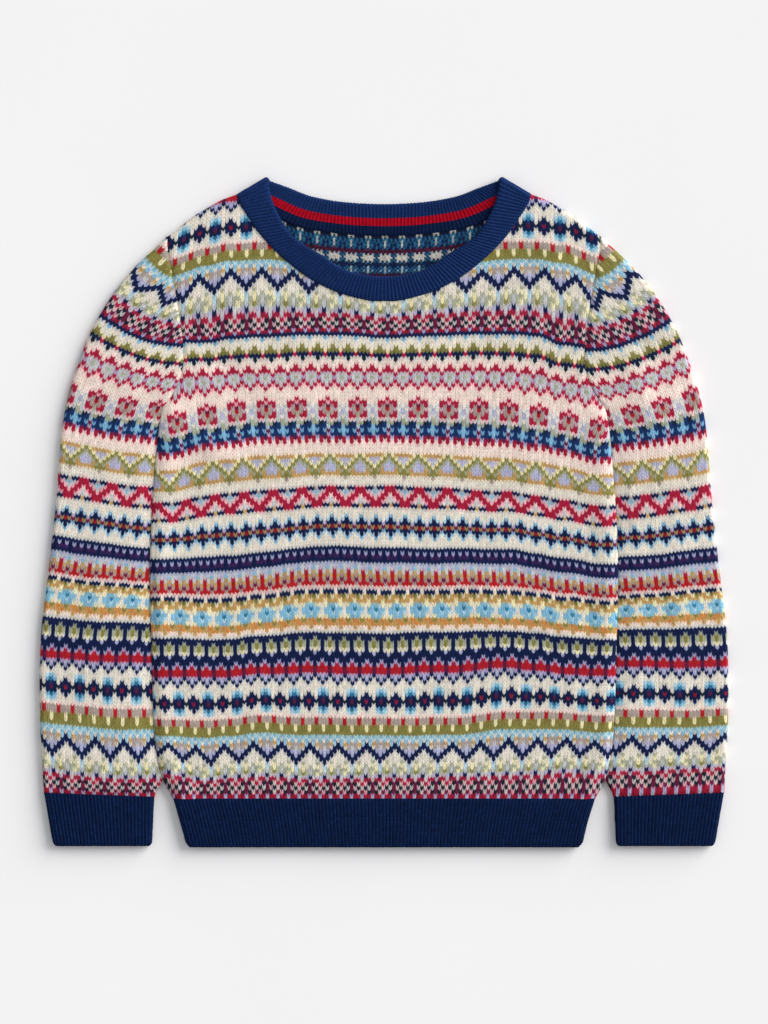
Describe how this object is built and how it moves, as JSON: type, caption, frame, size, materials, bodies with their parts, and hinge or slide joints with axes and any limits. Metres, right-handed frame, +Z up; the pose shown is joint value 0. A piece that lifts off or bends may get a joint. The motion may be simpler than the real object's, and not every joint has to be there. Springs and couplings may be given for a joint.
{
  "type": "fair isle jumper, laid flat",
  "caption": "Child's long-sleeved knitted pullover with bands of traditional stranded patterns and plain navy ribs, laid flat with its front up.",
  "frame": {"origin": "middle of the garment's outline, on the surface it lies on", "axes": "+Z up from the surface, through the front; +X across the garment to the wearer's left sleeve; +Y from hem to neck"},
  "size_m": [0.5166, 0.503, 0.0091],
  "materials": {
    "front_knit": "soft brushed wool, stranded stocking stitch in many colours",
    "back_knit": "soft brushed wool, stranded stocking stitch in many colours",
    "sleeve_knit": "soft brushed wool, stranded stocking stitch in many colours",
    "navy_rib": "plain ribbed wool, dark navy",
    "neck_rib": "plain ribbed wool, navy, with one red stripe inside the back"
  },
  "bodies": {
    "root": {"back_panel": "back_knit", "front_panel": "front_knit", "hem_rib_back": "navy_rib", "hem_rib_front": "navy_rib", "neckband": "neck_rib", "sleeve_right": "sleeve_knit", "cuff_right": "navy_rib", "sleeve_left": "sleeve_knit", "cuff_left": "navy_rib"}
  },
  "joints": []
}
